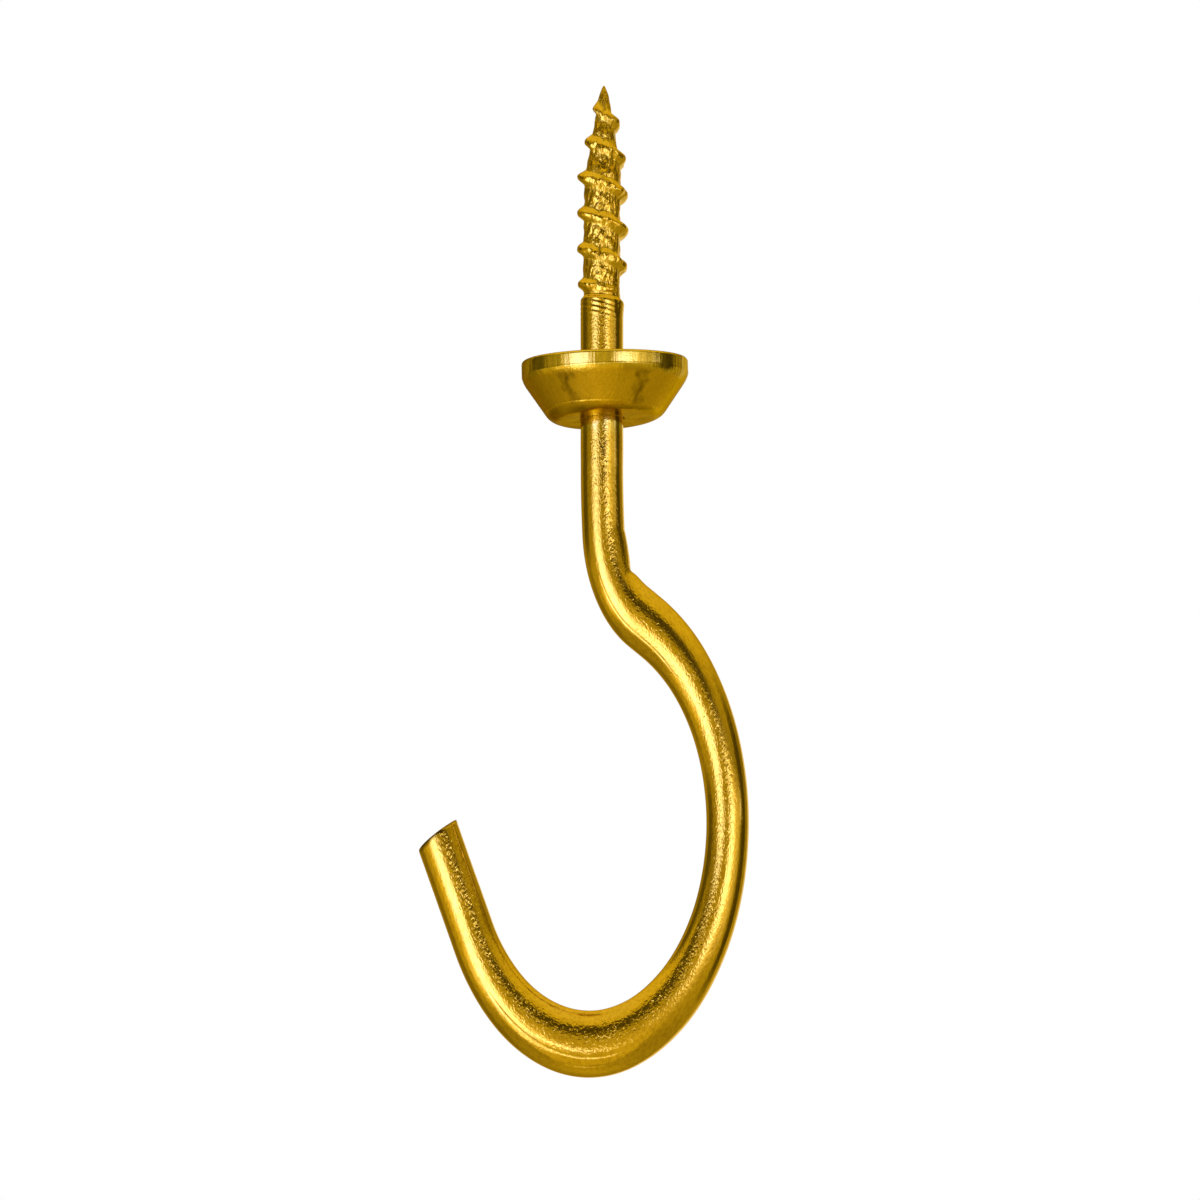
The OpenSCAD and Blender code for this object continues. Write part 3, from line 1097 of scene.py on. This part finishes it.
@dataclass
class Cup:
    """The pressed collar, one sheet open towards the wood, with its small end closed on the shank. In mm."""

    finish: SheetPlate = field(default_factory=SheetPlate)
    rim_radius: float = 5.1
    height: float = 3.72
    sheet: float = 0.5
    band: float = 0.98
    band_foot: tuple[float, ...] = (0.16, 0.1, 0.05, 0.02)
    flank_angle: float = 34.0
    heel_radius: float = 1.0
    brow_radius: float = 1.6
    brow_start: float = 12.0
    lip_radius: float = 0.22
    lip_chamfer: float = 0.06
    hole_radius: float = SHANK_RADIUS
    hole_edge: float = 0.12
    sides: int = 192
    arc_points: int = 14
    # how it sits on the shank, swaged by hand: its height above the seat, its shift and its angles
    rise: float = 0.26
    shift: float = 0.17
    heel_shift: float = 0.08
    lean: float = 1.3
    heel_lean: float = 1.5
    nod: float = 4.3
    nod_shear: float = 0.6
    free_from: float = 0.7
    crimp: float = 0.005
    crimp_width: float = 0.05
    waves: tuple[Waver, ...] = (Waver(0.012, 1.1, 4.1, along=0.5), Waver(0.02, 3.0, 6.3, along=0.5))

    def arc(self, centre: tuple[float, float], radius: float, start: float, end: float) -> list[Vector]:
        """Return the points of an arc in the XZ plane.

        Args:
            centre: Its x and z.
            radius: Its radius.
            start: Angle of its first point, in degrees from +X.
            end: Angle of its last point.

        Returns:
            The points.
        """
        points = []
        for i in range(self.arc_points + 1):
            angle = math.radians(start + (end - start) * i / self.arc_points)
            across, up = radius * math.cos(angle), radius * math.sin(angle)
            points.append(Vector((centre[0] + across, 0.0, centre[1] + up)))
        return points

    def face(self, depth: float) -> list[Vector]:
        """Return the outline of one face of the sheet, from the rim down.

        Args:
            depth: How far the face lies inside the sheet's outer face.

        Returns:
            The points of its brow and its heel, with the flank between them.
        """
        lean, start = math.radians(self.flank_angle), math.radians(self.brow_start)
        brow, heel = self.brow_radius, self.heel_radius
        brow_x, brow_z = self.rim_radius - brow * math.cos(start), brow * math.sin(start) - self.band
        across = heel - brow
        heel_x = (brow_x - across * math.cos(lean)
                  - (self.height - heel + brow_z + across * math.sin(lean)) * math.tan(lean))
        return (self.arc((brow_x, brow_z), brow - depth, -self.brow_start, -self.flank_angle)
                + self.arc((heel_x, heel - self.height), heel - depth, -self.flank_angle, -90.0))

    def outline(self) -> list[Vector]:
        """Return the sheet's whole section.

        Returns:
            Its points, from the lip round the outer face and the hole, and back up the inner face.
        """
        lip, edge, inside = self.lip_radius, self.hole_edge, self.rim_radius - self.sheet
        return (
            self.arc((self.rim_radius - lip, -lip), lip, 90.0, 0.0)
            + [Vector((self.rim_radius, 0.0, -self.band + up)) for up in self.band_foot]
            + self.face(0.0)
            + self.arc((self.hole_radius + edge, edge - self.height), edge, -90.0, -180.0)
            + [Vector((self.hole_radius, 0.0, self.sheet - self.height))]
            + self.face(self.sheet)[::-1]
            + [Vector((inside, 0.0, -self.lip_chamfer)), Vector((inside + self.lip_chamfer, 0.0, 0.0))])

    def build(self) -> bpy.types.Object:
        """Spin the cup as one closed piece.

        Returns:
            The finished piece.
        """
        bm = bmesh.new()
        points = [bm.verts.new(p) for p in self.outline()]
        edges = [bm.edges.new((a, b)) for a, b in zip(points, points[1:] + points[:1])]
        bmesh.ops.spin(bm, geom=points + edges, cent=(0, 0, 0), axis=(0, 0, 1), angle=math.tau,
                       steps=self.sides, use_merge=True)
        for vert in bm.verts:
            self.seat(vert)
        piece = finish_mesh(bm, "cup_plated", self.finish.material())
        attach(piece, "root")
        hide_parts("cup")
        return piece

    def seat(self, vert: BMVert) -> None:
        """Give a vertex the slight lean of a cup that was swaged by hand, and a pressing's small waves.

        Args:
            vert: The vertex, on a cup that stands true.
        """
        up = (vert.co.z + self.height) / self.height
        flat = Vector((vert.co.x, vert.co.y, 0.0))
        free = smooth_step(self.hole_radius, self.hole_radius + self.free_from, flat.length)
        crimp = Mark(-self.band, self.crimp_width, self.crimp).at(vert.co.z)
        waves = sum(wave.at(vert.co) for wave in self.waves)
        vert.co += flat.normalized() * (up * waves + crimp * free)
        lean = math.radians(self.lean + self.heel_lean * (1.0 - up))
        nod = math.sin(math.radians(self.nod)) * up
        vert.co.y -= self.nod_shear * vert.co.z * nod * free
        vert.co.z += self.rise + vert.co.x * math.sin(lean) + vert.co.y * nod
        vert.co.x += (self.shift + self.heel_shift * (1.0 - up)) * free


# ---------------------------------------------------------------- the studio


@dataclass(frozen=True)
class Card:
    """A card or cloth that stands round the hook: its direction, how wide and high it looks, and its level.

    Angles are in degrees. An azimuth of 0 is in front of the hook, and +X lies at 90.
    """

    name: str
    azimuth: float
    elevation: float
    width: float
    height: float
    level: float
    distance: float = 0.9
    feather: float = 0.55


@dataclass(frozen=True)
class SoftBox(Card):
    """A lamp behind a diffuser that is brightest in its middle."""

    distance: float = 0.6


@dataclass
class Studio:
    """A pale floor, a grey tent with its cards and soft boxes, a white surround and the camera. In metres."""

    centre: Vector = field(default_factory=lambda: Vector((-0.00012, 0.0, -0.01477)))
    camera_rise: float = -12.0
    camera_distance: float = 3.0
    camera_reach: Span = (0.05, 20.0)
    frame_width: float = 0.07344
    sensor: float = 36.0
    floor_z: float = -1.35
    floor_half: float = 12.0
    paper: Colour = (0.9, 0.9, 0.9)
    tent_radius: float = 1.3
    dusk: Colour = (1.0, 0.708, 0.030)
    pale_levels: Span = (0.66, 1.08)
    # the tent's level at each elevation
    tent_levels: Stops = (
        (-90.0, 0.52), (-60.0, 0.36), (-35.0, 0.31), (-10.0, 0.47), (20.0, 0.25), (45.0, 0.67), (65.0, 0.72),
        (90.0, 0.68))
    cards: tuple[Card, ...] = (
        Card("back_card", 160.0, -2.0, 58.0, 72.0, 0.86, 1.15),
        Card("low_card", -9.0, -28.5, 128.0, 77.0, 0.56, 1.10),
        Card("right_card", 43.0, 4.0, 61.0, 33.0, 0.76, 1.05),
        Card("front_card", -3.0, 2.5, 8.0, 73.0, 0.53, 1.00),
        Card("right_flag", 95.0, 5.0, 44.0, 68.0, 0.07, 0.95),
        Card("left_flag", -106.0, 22.0, 48.0, 50.0, 0.10, 0.90),
        Card("top_flag", -13.0, 32.0, 105.0, 33.0, 0.06, 0.85),
        Card("left_low_flag", -125.0, -18.0, 59.0, 50.0, 0.21, 0.80),
    )
    box_falloff: float = 2.5
    box_paler: float = 0.35
    boxes: tuple[SoftBox, ...] = (
        SoftBox("left_box", -37.0, -4.5, 63.0, 69.0, 1.9),
        SoftBox("left_side_box", -67.0, -15.0, 34.0, 28.0, 0.55),
        SoftBox("left_low_box", -32.0, -31.5, 52.0, 9.6, 1.0),
        SoftBox("front_low_box", -8.0, -15.5, 44.0, 8.0, 2.0),
        SoftBox("right_box", 28.0, 6.5, 54.0, 27.0, 1.5),
        SoftBox("under_box", -8.0, -66.0, 50.0, 8.0, 0.5),
        SoftBox("right_side_box", 75.0, 12.0, 27.0, 6.4, 0.74),
    )

    def spot(self, azimuth: float, elevation: float, distance: float) -> Vector:
        """Return the place that lies in a direction from the hook.

        Args:
            azimuth: Angle round Z in degrees; 0 is in front, and +X lies at 90.
            elevation: Angle above the level, in degrees.
            distance: Distance from the hook's middle.

        Returns:
            The place.
        """
        turn, rise = math.radians(azimuth), math.radians(elevation)
        way = Vector((math.cos(rise) * math.sin(turn), -math.cos(rise) * math.cos(turn), math.sin(rise)))
        return self.centre + way * distance

    def build(self) -> None:
        """Set up the whole studio."""
        self.camera()
        self.world()
        self.floor()
        self.tent()
        for card in self.cards:
            self.card(card)
        for box in self.boxes:
            self.soft_box(box)
        bpy.context.scene.view_settings.view_transform = "Standard"

    def camera(self) -> None:
        """Stand the camera a little below the hook, with a long lens."""
        data = bpy.data.cameras.new("camera")
        data.sensor_width = self.sensor
        data.lens = self.sensor * self.camera_distance / self.frame_width
        data.clip_start, data.clip_end = self.camera_reach
        made = bpy.data.objects.new("camera", data)
        bpy.context.scene.collection.objects.link(made)
        made.location = self.spot(0.0, self.camera_rise, self.camera_distance)
        made.rotation_euler = (self.centre - made.location).to_track_quat("-Z", "Y").to_euler()
        bpy.context.scene.camera = made

    def world(self) -> None:
        """Make the surround plain white, to look at and in reflections."""
        made = bpy.data.worlds.new("surround")
        bpy.context.scene.world = made
        made.use_nodes = True
        n = Nodes(made.node_tree)
        light = n.add("Background", {"Color": (*WHITE, 1.0), "Strength": 1.0})
        n.add("OutputWorld", {0: light.outputs[0]})

    def paleness(self, n: Nodes, level: Socket) -> Socket:
        """Return how white a light is at a level: dim cloth is dusky, and bright cloth is white."""
        return n.between(level, *self.pale_levels, smooth=True)

    def stage_object(self, bm: BMesh, name: str, material: bpy.types.Material) -> bpy.types.Object:
        """Turn a mesh into an object of the scene.

        Args:
            bm: The mesh, in metres, which is freed.
            name: The object's name.
            material: Its finish.

        Returns:
            The object.
        """
        made = to_object(bm, name, material)
        return made

    def keep_to_reflections(self, made: bpy.types.Object) -> None:
        """Let only reflections see a card, as if it stood just out of the picture."""
        made.visible_camera = made.visible_diffuse = made.visible_shadow = False

    def floor(self) -> None:
        """Lay the pale floor."""
        bm = bmesh.new()
        bmesh.ops.create_grid(bm, x_segments=1, y_segments=1, size=self.floor_half,
                              matrix=Matrix.Translation((0.0, 0.0, self.floor_z)))
        made, n = blank_material("floor_paper")
        shader = n.add("BsdfDiffuse", {"Color": (*self.paper, 1.0)})
        n.add("OutputMaterial", {0: shader.outputs[0]})
        self.stage_object(bm, "floor", made)

    def tent(self) -> None:
        """Stretch a tent round the hook, paler overhead and in front of its foot."""
        bm = bmesh.new()
        bmesh.ops.create_uvsphere(bm, u_segments=72, v_segments=36, radius=self.tent_radius)
        made, n = blank_material("tent_cloth")
        place = n.add("TexCoord").outputs["Object"]
        way = n.add("VectorMath", {0: place}, operation="NORMALIZE").outputs[0]
        height = n.add("SeparateXYZ", {0: way}).outputs[2]
        share = n.math("MULTIPLY_ADD", n.math("ARCSINE", height), 1.0 / math.pi, 0.5)
        level = n.ramp(share, *[(rise / 180.0 + 0.5, level) for rise, level in self.tent_levels])
        colour = n.blend(self.paleness(n, level), self.dusk, WHITE)
        light = n.add("Emission", {"Color": colour, "Strength": level})
        n.add("OutputMaterial", {0: light.outputs[0]})
        tent = self.stage_object(bm, "tent", made)
        tent.location = self.centre
        self.keep_to_reflections(tent)

    def hang(self, made: bpy.types.Object, card: Card, front: str) -> tuple[float, float]:
        """Put a card or lamp in its place, with its front towards the hook.

        Args:
            made: The object.
            card: Where it goes.
            front: The object's own axis that faces the hook.

        Returns:
            Its width and height.
        """
        made.location = self.spot(card.azimuth, card.elevation, card.distance)
        made.rotation_euler = (self.centre - made.location).to_track_quat(front, "Y").to_euler()
        width, height = (2.0 * card.distance * math.tan(math.radians(angle / 2))
                         for angle in (card.width, card.height))
        return width, height

    def card(self, card: Card) -> None:
        """Hang one card, with edges that fade as its feather says.

        Args:
            card: The card.
        """
        bm = bmesh.new()
        bmesh.ops.create_grid(bm, x_segments=1, y_segments=1, size=1.0)
        made, n = blank_material(card.name)
        place = n.add("SeparateXYZ", {0: n.add("TexCoord").outputs["Object"]})
        cover: Any = 1.0
        for axis in (0, 1):
            inward = n.math("SUBTRACT", 1.0, n.math("ABSOLUTE", place.outputs[axis]))
            cover = n.math("MULTIPLY", cover, n.between(inward, 0.0, card.feather, smooth=True))
        share = smooth_step(*self.pale_levels, card.level)
        tone = [low + (high - low) * share for low, high in zip(self.dusk, WHITE)]
        light = n.add("Emission", {"Color": (*tone, 1.0), "Strength": card.level})
        mixed = n.add("MixShader", {0: cover, 1: n.add("BsdfTransparent").outputs[0], 2: light.outputs[0]})
        n.add("OutputMaterial", {0: mixed.outputs[0]})
        hung = self.stage_object(bm, card.name, made)
        width, height = self.hang(hung, card, "Z")
        hung.scale = (width / 2, height / 2, 1.0)
        self.keep_to_reflections(hung)

    def soft_box(self, box: SoftBox) -> None:
        """Hang one lamp.

        Args:
            box: The lamp, whose level is what a white mirror would show at its middle.
        """
        lamp = bpy.data.lights.new(box.name, "AREA")
        hung = bpy.data.objects.new(box.name, lamp)
        bpy.context.scene.collection.objects.link(hung)
        lamp.shape = "RECTANGLE"
        lamp.size, lamp.size_y = self.hang(hung, box, "-Z")
        lamp.energy = math.pi * lamp.size * lamp.size_y
        lamp.use_nodes = True
        n = Nodes(lamp.node_tree)
        across = n.add("SeparateXYZ", {0: n.add("NewGeometry").outputs["Parametric"]})
        glow: Any = box.level
        for axis in (0, 1):
            off = n.math("MULTIPLY_ADD", across.outputs[axis], 2.0, -1.0)
            middle = n.math("SUBTRACT", 1.0, n.math("MULTIPLY", off, off), clamp=True)
            glow = n.math("MULTIPLY", n.math("POWER", middle, self.box_falloff), glow)
        share = self.paleness(n, n.math("ADD", glow, self.box_paler))
        light = n.add("Emission", {"Color": n.blend(share, self.dusk, WHITE), "Strength": glow})
        n.add("OutputLight", {0: light.outputs[0]})
        hung.visible_camera = hung.visible_diffuse = False


def main() -> None:
    """Build the studio, then the hook's pieces, and note their sizes."""
    logging.basicConfig(level=logging.INFO, format="%(name)s: %(message)s")
    Studio().build()
    for maker in (HookWire(), Cup()):
        piece = maker.build()
        triangles = sum(len(p.vertices) - 2 for p in piece.data.polygons)
        LOG.info("%s: %d triangles", piece.name, triangles)


if __name__ == "__main__":
    main()
